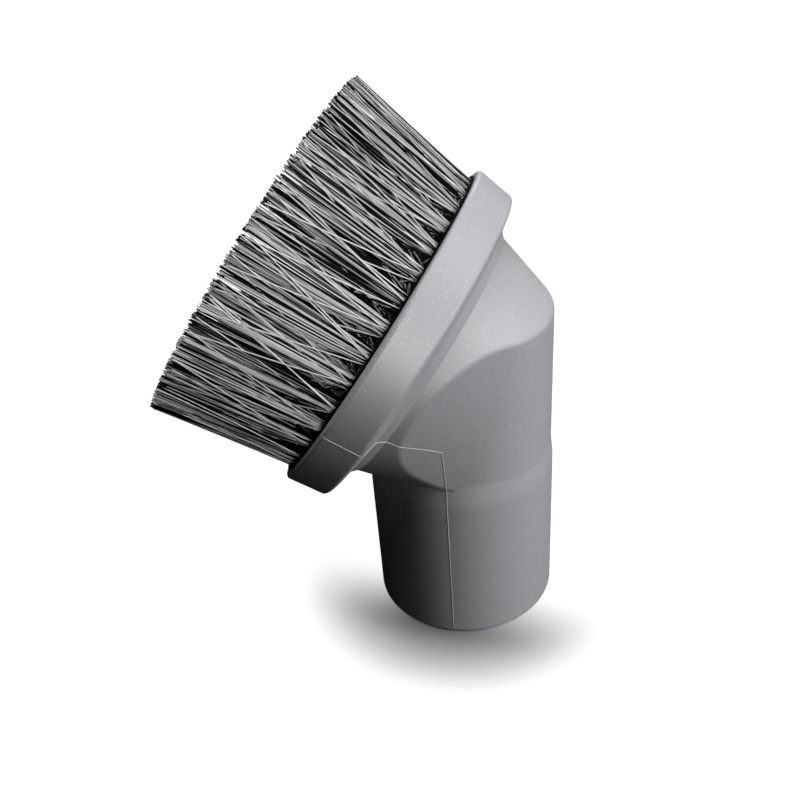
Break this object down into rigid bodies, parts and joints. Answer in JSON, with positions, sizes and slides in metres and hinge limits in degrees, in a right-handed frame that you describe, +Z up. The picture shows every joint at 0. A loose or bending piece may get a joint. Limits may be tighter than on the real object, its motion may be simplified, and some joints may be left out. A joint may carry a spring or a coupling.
{
  "type": "round dusting brush",
  "caption": "Round dusting brush for a vacuum cleaner: a bent hollow head with a ring of flared bristle tufts and a push-on wand socket.",
  "frame": {"origin": "centre of the socket mouth", "axes": "+Z up along the socket's axis, the brush ring faces up and towards -X, Y is across the brush"},
  "size_m": [0.0778, 0.0754, 0.109],
  "materials": {
    "body_plastic": "satin, finely grained moulded plastic",
    "carrier_plastic": "plain moulded plastic",
    "bristle": "glossy drawn filaments",
    "anchor_wire": "bright drawn wire"
  },
  "bodies": {
    "root": {"body": "body_plastic", "carrier_ring": "carrier_plastic", "tuft_01": "bristle", "tuft_02": "bristle", "tuft_03": "bristle", "tuft_04": "bristle", "tuft_05": "bristle", "tuft_06": "bristle", "tuft_07": "bristle", "tuft_08": "bristle", "tuft_09": "bristle", "tuft_10": "bristle", "tuft_11": "bristle", "tuft_12": "bristle", "tuft_13": "bristle", "tuft_14": "bristle", "tuft_15": "bristle", "tuft_16": "bristle", "tuft_17": "bristle", "tuft_18": "bristle", "tuft_19": "bristle", "tuft_20": "bristle", "tuft_21": "bristle", "tuft_22": "bristle", "tuft_23": "bristle", "tuft_24": "bristle", "tuft_25": "bristle", "tuft_26": "bristle", "tuft_27": "bristle", "tuft_28": "bristle", "tuft_29": "bristle", "tuft_30": "bristle", "tuft_31": "bristle", "tuft_32": "bristle", "tuft_33": "bristle", "tuft_34": "bristle", "tuft_35": "bristle", "tuft_36": "bristle", "tuft_anchors": "anchor_wire"}
  },
  "joints": []
}
